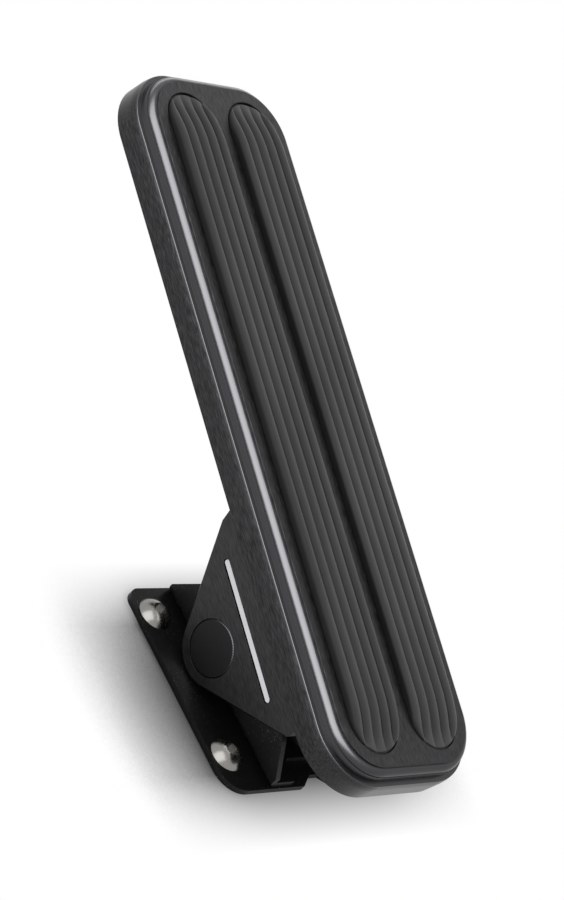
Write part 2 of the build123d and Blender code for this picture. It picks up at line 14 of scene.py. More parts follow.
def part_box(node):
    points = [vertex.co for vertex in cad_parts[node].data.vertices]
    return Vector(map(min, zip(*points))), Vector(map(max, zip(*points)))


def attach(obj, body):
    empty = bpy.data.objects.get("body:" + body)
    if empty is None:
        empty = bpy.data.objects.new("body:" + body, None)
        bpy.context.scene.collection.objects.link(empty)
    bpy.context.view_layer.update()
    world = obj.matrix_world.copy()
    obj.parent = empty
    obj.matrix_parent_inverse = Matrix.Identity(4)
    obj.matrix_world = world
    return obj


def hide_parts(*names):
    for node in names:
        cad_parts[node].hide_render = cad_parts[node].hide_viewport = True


bl_info = {
    "name": "Accelerator Pedal",
    "version": (1, 0, 0),
    "blender": (4, 5, 0),
    "location": "3D View > Sidebar > Pedal",
    "description": "Models and dresses a floor-mounted accelerator pedal round its frame",
    "category": "Object",
}

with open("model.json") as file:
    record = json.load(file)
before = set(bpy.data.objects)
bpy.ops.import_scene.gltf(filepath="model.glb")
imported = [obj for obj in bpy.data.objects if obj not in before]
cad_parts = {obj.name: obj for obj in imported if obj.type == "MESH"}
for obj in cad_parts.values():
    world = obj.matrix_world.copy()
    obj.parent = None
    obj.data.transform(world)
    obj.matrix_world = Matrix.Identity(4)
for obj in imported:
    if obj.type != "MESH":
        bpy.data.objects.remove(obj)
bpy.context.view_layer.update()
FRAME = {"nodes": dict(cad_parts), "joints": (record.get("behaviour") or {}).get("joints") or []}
MM = 0.001
PIVOT = Vector(FRAME["joints"][0]["pos_m"])
PAD_HALF_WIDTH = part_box("pedal_pad")[1].x

# Edges that turn by more than these stay crisp, or are broken
SMOOTH_ANGLE = math.radians(32)
SHARP_ANGLE = math.radians(30)

# Small roundings of the pad, and the roll at the top of its side wall
FOOT_ROUND = 0.02 * MM
LEDGE_ARRIS = 0.16 * MM
FACE_ARRIS = 0.12 * MM
POCKET_FLARE = 0.15 * MM
ROLL_HEIGHT = 3.0 * MM
WALL_ROLL = math.radians(14)
ROLL_RADIUS = ROLL_HEIGHT / math.sin(WALL_ROLL)
CORNER_SEGMENTS = 20
# Just under half a width, so that a round end keeps a short flat and no doubled corner
ROUND_END_SHARE = 0.999

# The slanted floor strip of each cheek's groove, and the solid's chamfer along the seam
GROOVE_WIDTH = 1.8 * MM
GROOVE_LENGTH = 44.2 * MM
GROOVE_LEAN = math.radians(32)
GROOVE_SINK = 0.75 * MM
GROOVE_ALONG = 0.1 * MM
GROOVE_UP = 14.7 * MM
SEAM_CHAMFER = 0.45 * MM
SEAM_REACH = 0.1 * MM

# Knurl and edges of the caps
CAP_TEETH = 72
CAP_TOOTH = 0.16 * MM
CAP_CHAMFER = 0.2 * MM
CAP_BORDER = 0.4 * MM

# Grid of each insert, the share of its rows on the flat stretch, and its least thickness
INSERT_ACROSS = 104
INSERT_ALONG = 72
FLAT_SHARE = 0.4
INSERT_LEAST = 0.3 * MM
# Ribs of even pitch in the middle, and how much sooner than the tip the end's rounding is full
EVEN_RIBS = 3
END_ROUND_SOONER = 1.4

# Real brushing is finer; it is drawn this coarse so that it shows, in streaks of a lighter shade
STREAKS_PER_MM = (3.4, 0.3, 3.4)
# How much lighter the streaks are; the pad's rim takes the same lighter shade as a painted highlight
STREAK_AND_PAINTED_HIGHLIGHT_LIFT = 1.6
# The rim's painted highlight, a lighter base colour, reaches this far down the side wall
PAINTED_HIGHLIGHT_TO_MM = 0.5
# How much lighter than its base colour the grooves' floor is, partly polish and partly a painted
# highlight, and how much lighter the coat's specks are
GROOVE_POLISH_AND_HIGHLIGHT = 2.4
SPECK_LIGHT = 12.0

# Camera fitted to the pad's outline in the photograph
CAMERA_PLACE_MM = (-701.2, -327.3, 528.7)
CAMERA_TURN_DEGREES = (49.10, -37.90, -33.53)
CAMERA_LENS_MM = 123.87
CAMERA_SENSOR_MM = 36.0
CAMERA_NEAREST = 0.01

# The floor, the light of the surroundings, and the soft shadow: how far it reaches, how dark it
# is, the way from which it falls, and the stretches of Y over which it fades out at both ends
WHITE = (1.0, 1.0, 1.0, 1.0)
FLOOR_HALF_WIDTH = 6.0
WORLD_STRENGTH = 0.15
SHADOW_REACH = 0.048
SHADOW_DEPTH = 4.9
SHADOW_TOWARDS = (0.9, 0.3, 0.2)
SHADOW_NEAR_FADE = (-0.056, -0.03)
SHADOW_FAR_FADE = (0.022, 0.045)

# Name, direction from the pad in its own frame, distance, width, height, watts and kind of each
# soft box; a box faces the pad, its width square to the pad's length
STUDIO_LIGHTS = (
    ("left_soft_box", (-0.60, 0.20, 0.75), 1.0, 2.6, 2.0, 126.0, "gleam"),
    ("far_card", (0.45, 0.88, 0.10), 1.3, 0.35, 1.8, 8.0, "gleam"),
    ("side_soft_box", (-0.75, 0.10, 0.66), 1.0, 1.0, 1.0, 5.5, "shine"),
    ("right_soft_box", (0.42, 0.12, 0.90), 1.2, 0.7, 0.8, 27.0, "matt"),
)


def length_property(name, description, millimetres):
    """A length that a user may change, given in millimetres; a height may be below its datum."""
    return bpy.props.FloatProperty(name=name, description=description, default=millimetres * MM,
                                   min=-1.0, unit="LENGTH", precision=5)


def colour_property(name, description, hex_code):
    """A colour that a user may change, from its sRGB hex code."""
    return bpy.props.FloatVectorProperty(name=name, description=description, subtype="COLOR",
                                         size=4, min=0.0, max=1.0, default=linear(hex_code))


def linear(hex_code):
    """sRGB hex to the linear colour that shaders take."""
    channels = [int(hex_code[i:i + 2], 16) / 255 for i in (1, 3, 5)]
    turned = [c / 12.92 if c <= 0.04045 else ((c + 0.055) / 1.055) ** 2.4 for c in channels]
    return (*turned, 1.0)


class PadSizes(bpy.types.PropertyGroup):
    """Sizes of the machined pad and where it sits over the pivot."""
    tilt: bpy.props.FloatProperty(name="Tilt", description="Angle of the pad to the floor plate",
                                  default=math.radians(13.85), subtype="ANGLE")
    length: length_property("Length", "Whole length of the pad", 229.6)
    thickness: length_property("Thickness", "From the flat face to the back", 13.2)
    corner: length_property("Corner radius", "Radius of the pad's corners, seen from above", 19.8)
    face_height: length_property("Face height", "From the pivot to the flat face", 34.6)
    low_end: length_property("Low end", "From the pivot to the pad's short end", 54.05)
    rim_depth: length_property("Rim depth", "From the flat face down to the side wall", 4.8)
    rim_ledge: length_property("Rim ledge", "Width of the ledge on top of the side wall", 1.9)
    rim_batter: length_property("Rim batter", "How far the riser leans in over its height", 0.2)
    rim_shelf: length_property("Rim shelf", "Shelf between the riser and the round edge", 0.25)
    rim_round: length_property("Rim round", "Radius of the quarter-round edge", 1.9)
    face_step: length_property("Face step", "Height of the small step round the face", 0.6)
    face_ledge: length_property("Face ledge", "Width of the ledge below that step", 0.4)
    pocket_width: length_property("Pocket width", "Width of each insert's pocket", 21.2)
    pocket_margin: length_property("Pocket margin", "From the pad's end to the pocket", 8.6)
    pocket_depth: length_property("Pocket depth", "Depth of each insert's pocket", 2.5)
    land: length_property("Land", "Metal between the two pockets", 5.8)


class InsertSizes(bpy.types.PropertyGroup):
    """Sizes of the ribbed rubber inserts."""
    clearance: length_property("Clearance", "Gap round the insert in its pocket", 0.2)
    proud: length_property("Proud", "Height of the ribs over the face", 2.9)
    end_proud: length_property("End height", "Height of the ramp's low end over the face", -0.3)
    ramp: length_property("Ramp", "Length of the ramp at each end", 13.5)
    pitch: length_property("Pitch", "From groove to groove", 4.26)
    rib_round: length_property("Rib round", "Radius of each rib's round top", 2.32)
    edge_round: length_property("Edge round", "Radius along the insert's long sides", 2.1)
    end_round: length_property("End round", "Radius at the insert's round ends", 0.7)
    fade: length_property("Fade", "How far from the end a groove starts to fade out", 6.0)
    blend: length_property("Blend", "Half the length over which a ramp starts", 5.0)


class PedalColours(bpy.types.PropertyGroup):
    """Base colours of the pedal's finishes."""
    anodised: colour_property("Anodised", "Black anodised aluminium", "#272728")
    machined: colour_property("Machined", "Anodised carrier", "#303031")
    cap: colour_property("Cap", "Smooth anodised cap", "#2C2C2D")
    rubber: colour_property("Rubber", "Moulded black rubber", "#363637")
    coated: colour_property("Coated steel", "Black powder-coated steel", "#29292A")
    stainless: colour_property("Stainless", "Polished stainless steel", "#8C8A87")
    zinc: colour_property("Zinc", "Zinc-plated steel", "#B4B5B8")
    spring: colour_property("Spring", "Oil-blackened spring steel", "#4A4A4D")
    ground: colour_property("Ground steel", "Ground steel of the shaft", "#A8A8A8")
    bronze: colour_property("Bronze", "Sintered bronze of the bushes", "#A9794A")
    nylon: colour_property("Nylon", "Black nylon of the sleeve", "#262627")
    floor: colour_property("Floor", "Pale studio floor", "#F2F2F2")


def settings():
    """The three property groups."""
    scene = bpy.context.scene
    return scene.pedal_pad_sizes, scene.pedal_insert_sizes, scene.pedal_colours


def pedal_matrix():
    """From the pedal's own frame (about the pivot, square to the pad) to the row's."""
    pad = settings()[0]
    return Matrix.Translation(PIVOT) @ Matrix.Rotation(pad.tilt, 4, "X")


def face_matrix():
    """From the flat face's centre, with Y along the pad, to the row's frame."""
    pad = settings()[0]
    middle = Vector((0, pad.length / 2 - pad.low_end, pad.face_height))
    return pedal_matrix() @ Matrix.Translation(middle)


# Materials

def new_material(name):
    """An empty node material and its output."""
    material = bpy.data.materials.new(name)
    material.use_nodes = True
    material.node_tree.nodes.clear()
    return material, add(material.node_tree, "ShaderNodeOutputMaterial")


def add(tree, kind, inputs=None, **values):
    """Add a node with its settings; an input is a number, a colour or another node's socket."""
    node = tree.nodes.new(kind)
    for key, value in values.items():
        setattr(node, key, value)
    for key, value in (inputs or {}).items():
        socket = node.inputs[key]
        if isinstance(value, bpy.types.NodeSocket):
            tree.links.new(value, socket)
        else:
            socket.default_value = value
    return node


def place(tree, frame, per_mm):
    """Object coordinates turned into a local frame and scaled to repeats per millimetre."""
    coordinates = add(tree, "ShaderNodeTexCoord")
    turned = add(tree, "ShaderNodeMapping", {
        "Vector": coordinates.outputs["Object"], "Location": frame.to_translation(),
        "Rotation": frame.to_euler()}, vector_type="TEXTURE")
    scaled = add(tree, "ShaderNodeVectorMath", {
        0: turned.outputs["Vector"], 1: [s / MM for s in per_mm]}, operation="MULTIPLY")
    return scaled.outputs["Vector"]


def noise(tree, vector, scale=1.0, detail=2.0, roughness=0.5):
    """Noise value between 0 and 1 on the given coordinates."""
    node = add(tree, "ShaderNodeTexNoise", {"Vector": vector, "Scale": scale, "Detail": detail,
                                            "Roughness": roughness})
    return node.outputs["Fac"]


def between(tree, value, low, high, from_low=0.3, from_high=0.7):
    """Map a value to a range; the usual noise lies between 0.3 and 0.7."""
    node = add(tree, "ShaderNodeMapRange", {"Value": value, "From Min": from_low,
                                            "From Max": from_high, "To Min": low, "To Max": high})
    return node.outputs["Result"]


def tint(tree, value, dark, light):
    """Blend two shades of a colour by a value from 0 to 1."""
    node = add(tree, "ShaderNodeMix", {"Factor": value}, data_type="RGBA")
    for name, colour in (("A", dark), ("B", light)):
        socket = [s for s in node.inputs if s.name == name and s.type == "RGBA"][0]
        socket.default_value = colour
    return [s for s in node.outputs if s.type == "RGBA"][0]


def shade(colour, factor):
    """The same colour, darker or lighter."""
    return (*[min(1.0, c * factor) for c in colour[:3]], 1.0)


def bump(tree, height, distance_mm, strength=1.0):
    """A normal from a height, with its real depth in millimetres."""
    node = add(tree, "ShaderNodeBump", {"Height": height, "Distance": distance_mm * MM,
                                        "Strength": strength})
    return node.outputs["Normal"]


def anodised_aluminium(name, colour, streak=1.0, gloss=0.3):
    """Black anodised aluminium: short streaks brushed along the pad, and a painted highlight on the
    pad's rim, whose base colour is lighter.
    """
    material, output = new_material(name)
    tree = material.node_tree
    frame = face_matrix()
    pad = settings()[0]
    fine = noise(tree, place(tree, frame, STREAKS_PER_MM), detail=2.0, roughness=0.6)
    height = add(tree, "ShaderNodeSeparateXYZ", {0: place(tree, frame, (1.0, 1.0, 1.0))})
    # Painted highlight: from the face's small step down to just below the top of the side wall, the
    # rim takes the lighter shade
    highlight_middle = -(pad.rim_depth + pad.face_step) / 2 / MM - PAINTED_HIGHLIGHT_TO_MM / 2
    highlight_reach = (pad.rim_depth - pad.face_step) / 2 / MM + PAINTED_HIGHLIGHT_TO_MM / 2
    rim = add(tree, "ShaderNodeMath", {0: height.outputs["Z"], 1: highlight_middle, 2: highlight_reach},
              operation="COMPARE")
    brushed = add(tree, "ShaderNodeMath", {0: 1.0, 1: rim.outputs[0]}, operation="SUBTRACT")
    dashes = between(tree, fine, 0.0, 1.0, 0.35, 0.75)
    level = add(tree, "ShaderNodeMath", {0: dashes, 1: brushed.outputs[0]}, operation="MULTIPLY")
    # Both the streaks and the rim's painted highlight take the lighter shade
    bright = add(tree, "ShaderNodeMath", {0: level.outputs[0], 1: rim.outputs[0]}, operation="MAXIMUM")
    base = tint(tree, bright.outputs[0], colour, shade(colour, 1 + STREAK_AND_PAINTED_HIGHLIGHT_LIFT * streak))
    rough = between(tree, level.outputs[0], gloss, gloss + 0.08 * streak, 0.0, 1.0)
    strength = add(tree, "ShaderNodeMath", {0: brushed.outputs[0], 1: 0.5 * streak},
                   operation="MULTIPLY")
    shader = add(tree, "ShaderNodeBsdfPrincipled", {
        "Base Color": base, "Metallic": 1.0, "Roughness": rough,
        "Normal": bump(tree, fine, 0.01, strength.outputs[0])})
    tree.links.new(shader.outputs[0], output.inputs["Surface"])
    return material


def moulded_rubber(name, colour, gloss=0.5):
    """Moulded rubber: satin, a faint grain and slight bloom that lightens it unevenly."""
    material, output = new_material(name)
    tree = material.node_tree
    frame = face_matrix()
    bloom = noise(tree, place(tree, frame, (0.06, 0.02, 0.06)), detail=4.0)
    grain = noise(tree, place(tree, frame, (3.0, 3.0, 3.0)), detail=2.0)
    base = tint(tree, between(tree, bloom, 0.0, 1.0), shade(colour, 0.85), shade(colour, 1.15))
    shader = add(tree, "ShaderNodeBsdfPrincipled", {
        "Base Color": base, "Roughness": between(tree, grain, gloss - 0.05, gloss + 0.08),
        "IOR": 1.52, "Specular IOR Level": 0.12, "Normal": bump(tree, grain, 0.006, 0.6)})
    tree.links.new(shader.outputs[0], output.inputs["Surface"])
    return material


def coated_steel(name, colour):
    """Black powder coat on sheet steel: semi-gloss orange peel with a few bright specks."""
    material, output = new_material(name)
    tree = material.node_tree
    frame = Matrix.Identity(4)
    peel = noise(tree, place(tree, frame, (0.9, 0.9, 0.9)), detail=3.0)
    dust = noise(tree, place(tree, frame, (2.2, 2.2, 2.2)), detail=1.0)
    patch = noise(tree, place(tree, frame, (0.07, 0.07, 0.07)), detail=2.0)
    seen = add(tree, "ShaderNodeMath", {0: dust, 1: between(tree, patch, 0.0, 0.1)}, operation="ADD")
    specks = between(tree, seen.outputs[0], 0.0, 1.0, 0.77, 0.82)
    base = tint(tree, specks, colour, shade(colour, SPECK_LIGHT))
    shader = add(tree, "ShaderNodeBsdfPrincipled", {
        "Base Color": base, "Roughness": between(tree, peel, 0.32, 0.42), "IOR": 1.5,
        "Specular IOR Level": 0.22, "Normal": bump(tree, peel, 0.03, 0.5)})
    tree.links.new(shader.outputs[0], output.inputs["Surface"])
    return material


def turned_metal(name, colour, roughness, grain_per_mm=1.5, grain=0.06):
    """Bare or plated metal: an even gloss with a fine grain that breaks the reflection."""
    material, output = new_material(name)
    tree = material.node_tree
    fine = noise(tree, place(tree, Matrix.Identity(4), (grain_per_mm,) * 3), detail=3.0)
    base = tint(tree, between(tree, fine, 0.0, 1.0), shade(colour, 0.92), colour)
    shader = add(tree, "ShaderNodeBsdfPrincipled", {
        "Base Color": base, "Metallic": 1.0,
        "Roughness": between(tree, fine, roughness - grain / 2, roughness + grain / 2)})
    tree.links.new(shader.outputs[0], output.inputs["Surface"])
    return material


def moulded_nylon(name, colour):
    """Moulded black nylon: even satin with a faint bloom."""
    material, output = new_material(name)
    tree = material.node_tree
    bloom = noise(tree, place(tree, Matrix.Identity(4), (0.2, 0.2, 0.2)), detail=3.0)
    base = tint(tree, between(tree, bloom, 0.0, 1.0), shade(colour, 0.9), shade(colour, 1.1))
    shader = add(tree, "ShaderNodeBsdfPrincipled", {
        "Base Color": base, "Roughness": between(tree, bloom, 0.4, 0.5), "IOR": 1.53})
    tree.links.new(shader.outputs[0], output.inputs["Surface"])
    return material


def seen_directly(tree):
    """1 for the rays that show the background as it is: camera, glossy and transmission rays."""
    path = add(tree, "ShaderNodeLightPath")
    mirrored = add(tree, "ShaderNodeMath", {0: path.outputs["Is Glossy Ray"],
                                            1: path.outputs["Is Transmission Ray"]},
                   operation="MAXIMUM")
    either = add(tree, "ShaderNodeMath", {0: path.outputs["Is Camera Ray"],
                                          1: mirrored.outputs[0]}, operation="MAXIMUM")
    return either.outputs[0]


def studio_floor(name, colour):
    """Matt pale floor that is seen as white, with the object's soft shadow round the bracket."""
    material, output = new_material(name)
    tree = material.node_tree
    matt = add(tree, "ShaderNodeBsdfDiffuse", {"Color": colour})
    near = add(tree, "ShaderNodeAmbientOcclusion", {"Distance": SHADOW_REACH,
                                                    "Normal": SHADOW_TOWARDS}, samples=16)
    soft = add(tree, "ShaderNodeMath", {0: near.outputs["AO"], 1: SHADOW_DEPTH}, operation="POWER")
    where = add(tree, "ShaderNodeTexCoord")
    along = add(tree, "ShaderNodeSeparateXYZ", {0: where.outputs["Object"]})
    near_side = between(tree, along.outputs["Y"], 1.0, 0.0, *SHADOW_NEAR_FADE)
    far_side = between(tree, along.outputs["Y"], 0.0, 1.0, *SHADOW_FAR_FADE)
    faded = add(tree, "ShaderNodeMath", {0: near_side, 1: far_side}, operation="MAXIMUM")
    light = add(tree, "ShaderNodeMix", {"Factor": faded.outputs[0], "A": soft.outputs[0], "B": 1.0})
    lit = add(tree, "ShaderNodeEmission", {"Color": WHITE, "Strength": light.outputs[0]})
    seen = add(tree, "ShaderNodeMixShader", {0: seen_directly(tree), 1: matt.outputs[0],
                                             2: lit.outputs[0]})
    tree.links.new(seen.outputs[0], output.inputs["Surface"])
    return material


# Helpers for pieces

def finish_piece(bm, name, body, slot, material, nodes=(), matrix=None):
    """Turn a bmesh into a piece in the row's frame that rides on its body."""
    if matrix is not None:
        bmesh.ops.transform(bm, matrix=matrix, verts=bm.verts)
    mesh = bpy.data.meshes.new(name)
    bm.to_mesh(mesh)
    bm.free()
    mesh.materials.append(material)
    mesh.shade_smooth()
    mesh.set_sharp_from_angle(angle=SMOOTH_ANGLE)
    piece = bpy.data.objects.new(name, mesh)
    bpy.context.scene.collection.objects.link(piece)
    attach(piece, body)
    if nodes:
        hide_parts(*nodes)
    if slot.startswith("anodised"):
        gleaming().objects.link(piece)
    return piece


def gleaming():
    """The collection of anodised pieces, which alone take the strong soft boxes."""
    return bpy.data.collections.get("gleaming") or bpy.data.collections.new("gleaming")


def even_shading(piece):
    """Let big flat faces rule the normals, so that small bevels catch a clean line of light."""
    modifier = piece.modifiers.new("even_shading", "WEIGHTED_NORMAL")
    modifier.keep_sharp = True
    modifier.weight = 100


def dress(node, material):
    """Give a CAD node that stays a material."""
    piece = FRAME["nodes"][node]
    piece.data.materials.clear()
    piece.data.materials.append(material)


def rounded_sheet(bm, width, length, radius, height, segments):
    """One flat face with rounded corners."""
    made = bmesh.ops.create_grid(bm, x_segments=1, y_segments=1, size=0.5)["verts"]
    bmesh.ops.scale(bm, verts=made, vec=(width, length, 1.0))
    bmesh.ops.translate(bm, verts=made, vec=(0, 0, height))
    bmesh.ops.bevel(bm, geom=made, offset=radius, offset_type="OFFSET", segments=segments,
                    profile=0.5, affect="VERTICES", material=-1)
    return bm.faces[:][-1]


def raise_face(bm, face, inset, height):
    """Carry a face up by a step: straight if it has no inset, else drawn in evenly."""
    if inset == 0:
        made = bmesh.ops.extrude_face_region(bm, geom=[face])["geom"]
        top = [g for g in made if isinstance(g, bmesh.types.BMFace)][0]
        bmesh.ops.translate(bm, verts=top.verts, vec=(0, 0, height))
        bmesh.ops.delete(bm, geom=[face], context="FACES_ONLY")
        return top
    bmesh.ops.inset_region(bm, faces=[face], thickness=inset, depth=height,
                           use_even_offset=True, use_boundary=True)
    return face


def rounding_steps(radius, segments, angle=math.pi / 2):
    """The steps of a rounding: how far in and how far up each one goes."""
    points = [(radius * (1 - math.cos(a)), radius * math.sin(a))
              for a in [angle * i / segments for i in range(segments + 1)]]
    return [(b[0] - a[0], b[1] - a[1]) for a, b in zip(points, points[1:])]


def leave_underside(bm, face):
    """Leave a copy of a face, turned over, where the face is raised from."""
    copied = bmesh.ops.duplicate(bm, geom=[face])["geom"]
    bmesh.ops.reverse_faces(bm, faces=[g for g in copied if isinstance(g, bmesh.types.BMFace)])


def cut(piece, bm):
    """Take a closed bmesh away from a piece."""
    mesh = bpy.data.meshes.new("cutter")
    bm.to_mesh(mesh)
    bm.free()
    cutter = bpy.data.objects.new("cutter", mesh)
    bpy.context.scene.collection.objects.link(cutter)
    modifier = piece.modifiers.new("cut", "BOOLEAN")
    modifier.object = cutter
    modifier.solver = "EXACT"
    graph = bpy.context.evaluated_depsgraph_get()
    graph.update()
    made = bpy.data.meshes.new_from_object(piece.evaluated_get(graph))
    piece.modifiers.clear()
    old = piece.data
    piece.data = made
    bpy.data.meshes.remove(old)
    bpy.data.objects.remove(cutter)
    bpy.data.meshes.remove(mesh)


def stadium(bm, width, length, height, segments=24):
    """One flat face with half-round ends."""
    return rounded_sheet(bm, width, length, width / 2 * ROUND_END_SHARE, height, segments)


def close_seam(bm, seam):
    """Close the chamfer under the pad, so that no bright line parts the two pieces."""
    flat = seam.inverted()
    for vert in bm.verts:
        if (flat @ vert.co).z > -SEAM_REACH and abs(vert.co.x) > PAD_HALF_WIDTH - SEAM_CHAMFER:
            vert.co.x = math.copysign(PAD_HALF_WIDTH, vert.co.x)


def edge_broken(node, name, body, slot, material, offset_mm, seam=None):
    """A copy of a CAD node with its sharp edges broken; at a seam with the pad it is flush."""
    bm = bmesh.new()
    bm.from_mesh(FRAME["nodes"][node].data)
    bmesh.ops.remove_doubles(bm, verts=bm.verts, dist=MM / 1000)
    if seam is not None:
        close_seam(bm, seam)
    bmesh.ops.dissolve_limit(bm, angle_limit=math.radians(1.0), verts=bm.verts, edges=bm.edges,
                             use_dissolve_boundaries=False, delimit={"NORMAL"})
    sharp = [e for e in bm.edges if len(e.link_faces) == 2 and e.calc_face_angle() > SHARP_ANGLE]
    if seam is not None:
        flat = seam.inverted()
        sharp = [e for e in sharp if any(abs((flat @ v.co).z) > SEAM_REACH for v in e.verts)]
    bmesh.ops.bevel(bm, geom=sharp, offset=offset_mm * MM, offset_type="OFFSET", segments=2,
                    profile=0.5, affect="EDGES", clamp_overlap=True, material=-1)
    piece = finish_piece(bm, name, body, slot, material, (node,))
    even_shading(piece)
    return piece


class PEDAL_OT_pad(bpy.types.Operator):
    """Model the machined pad with its stepped quarter-round edge and two pockets"""
    bl_idname = "pedal.pad"
    bl_label = "Pad"

    def execute(self, context):
        pad, _, colours = settings()
        metal = anodised_aluminium("brushed_anodised_aluminium", colours.anodised)
        bm = bmesh.new()
        face = rounded_sheet(bm, 2 * (PAD_HALF_WIDTH - FOOT_ROUND), pad.length - 2 * FOOT_ROUND,
                             pad.corner - FOOT_ROUND, -pad.thickness, CORNER_SEGMENTS)
        leave_underside(bm, face)
        steps = self.wall(pad) + self.rim(pad)
        for inset, height in steps:
            face = raise_face(bm, face, inset, height)
        bmesh.ops.remove_doubles(bm, verts=bm.verts, dist=MM / 1000)
        piece = finish_piece(bm, "pad", "pedal", "anodised_pad", metal, ("pedal_pad",))
        for side in (-1, 1):
            cut(piece, self.pocket(pad, side))
        piece.data.transform(face_matrix())
        piece.data.shade_smooth()
        piece.data.set_sharp_from_angle(angle=SMOOTH_ANGLE)
        even_shading(piece)
        return {"FINISHED"}

    def wall(self, pad):
        """Steps in and up the side wall: rounded foot, plain wall, roll and arris."""
        plain = pad.thickness - pad.rim_depth - FOOT_ROUND - LEDGE_ARRIS - ROLL_HEIGHT
        steps = [(-up, inward) for inward, up in reversed(rounding_steps(FOOT_ROUND, 3))]
        steps.append((0, plain))
        steps += rounding_steps(ROLL_RADIUS, 6, WALL_ROLL)
        return steps + rounding_steps(LEDGE_ARRIS, 3)

    def rim(self, pad):
        """Steps from the wall's top to the face: ledge, riser, shelf, quarter-round and step."""
        lip = ROLL_RADIUS * (1 - math.cos(WALL_ROLL))
        riser = pad.rim_depth - pad.face_step - pad.rim_round
        steps = [(pad.rim_ledge - LEDGE_ARRIS - lip, 0), (pad.rim_batter, riser), (pad.rim_shelf, 0)]
        steps += rounding_steps(pad.rim_round, 12)
        # The ledge below the face's small step ends in a slight rise, which softens the corner.
        rise = FACE_ARRIS / 3
        steps += [(pad.face_ledge - 2 * FACE_ARRIS, 0), (FACE_ARRIS, rise)]
        steps.append((0, pad.face_step - rise - FACE_ARRIS))
        return steps + rounding_steps(FACE_ARRIS, 2)

    def pocket(self, pad, side):
        """The cutter of one insert's pocket, flared at the face."""
        bm = bmesh.new()
        face = stadium(bm, pad.pocket_width, pad.length - 2 * pad.pocket_margin, -pad.pocket_depth)
        leave_underside(bm, face)
        face = raise_face(bm, face, 0, pad.pocket_depth - POCKET_FLARE)
        raise_face(bm, face, -2 * POCKET_FLARE, 2 * POCKET_FLARE)
        bmesh.ops.remove_doubles(bm, verts=bm.verts, dist=MM / 1000)
        bmesh.ops.translate(bm, verts=bm.verts, vec=(side * (pad.land + pad.pocket_width) / 2, 0, 0))
        return bm


class PEDAL_OT_inserts(bpy.types.Operator):
    """Model the two ribbed rubber inserts with ramped round ends"""
    bl_idname = "pedal.inserts"
    bl_label = "Inserts"

    def execute(self, context):
        pad, insert, colours = settings()
        rubber = moulded_rubber("moulded_ribbed_rubber", colours.rubber, gloss=0.42)
        for side, node in ((-1, "insert_left"), (1, "insert_right")):
            bm = self.ribbed(pad, insert)
            shift = Matrix.Translation((side * (pad.land + pad.pocket_width) / 2, 0, 0))
            finish_piece(bm, "ribbed_" + node, "pedal", "ribbed_rubber", rubber, (node,),
                         face_matrix() @ shift)
        return {"FINISHED"}

    def ribbed(self, pad, insert):
        """One insert: a fine grid drawn in to round ends, then lowered by its grooves."""
        half_width = pad.pocket_width / 2 - insert.clearance
        half_length = pad.length / 2 - pad.pocket_margin - insert.clearance
        ramp_start = half_length - insert.ramp
        straight = half_length - half_width
        bm = bmesh.new()
        bmesh.ops.create_grid(bm, x_segments=INSERT_ACROSS, y_segments=INSERT_ALONG, size=1.0)
        for vert in bm.verts:
            x = half_width * vert.co.x
            end = straight + math.sqrt(max(0.0, half_width**2 - x**2))
            share = abs(vert.co.y)
            if share < FLAT_SHARE:
                y = ramp_start * share / FLAT_SHARE
            else:
                y = ramp_start + (end - ramp_start) * (share - FLAT_SHARE) / (1 - FLAT_SHARE)
            y = math.copysign(y, vert.co.y)
            vert.co = (x, y, self.height(pad, insert, x, y, half_width, half_length, straight))
        edge = [e for e in bm.edges if e.is_boundary]
        skirt = bmesh.ops.extrude_edge_only(bm, edges=edge)["geom"]
        low = [g for g in skirt if isinstance(g, bmesh.types.BMVert)]
        for vert in low:
            vert.co.z = -pad.pocket_depth
        rim = [g for g in skirt if isinstance(g, bmesh.types.BMEdge) and g.is_boundary]
        bmesh.ops.edgeloop_fill(bm, edges=rim)
        bmesh.ops.recalc_face_normals(bm, faces=bm.faces)
        return bm

    def height(self, pad, insert, x, y, half_width, half_length, straight):
        """Height of the insert's top at a place, with ramps, grooves and a rounded border."""
        fall = (insert.proud - insert.end_proud) / insert.ramp
        down = abs(y) - (half_length - insert.ramp)
        if abs(down) < insert.blend:
            down = (down + insert.blend) ** 2 / (4 * insert.blend)
        top = insert.proud - max(0.0, down) * fall
        over = max(0.0, abs(y) - straight)
        border = half_width - math.hypot(x, over)
        inner = EVEN_RIBS / 2 * insert.pitch
        if abs(x) < inner:
            off = abs((x / insert.pitch + 0.5) % 1.0 - 0.5) * insert.pitch
        else:
            crest = half_width - insert.edge_round
            off = max(0.0, crest - abs(x)) / (crest - inner) * insert.pitch / 2
        groove = insert.rib_round - math.sqrt(insert.rib_round**2 - off**2)
        groove *= min(1.0, max(0.0, half_length - abs(y)) / insert.fade,
                      max(0.0, border) / insert.edge_round)
        at_end = min(1.0, over / half_width * END_ROUND_SOONER)
        rounding = insert.edge_round + (insert.end_round - insert.edge_round) * at_end
        if border < rounding:
            back = 1 - max(0.0, border) / rounding
            top -= rounding * (1 - math.sqrt(max(0.0, 1 - back**2)))
        return max(top - groove, INSERT_LEAST - pad.pocket_depth)


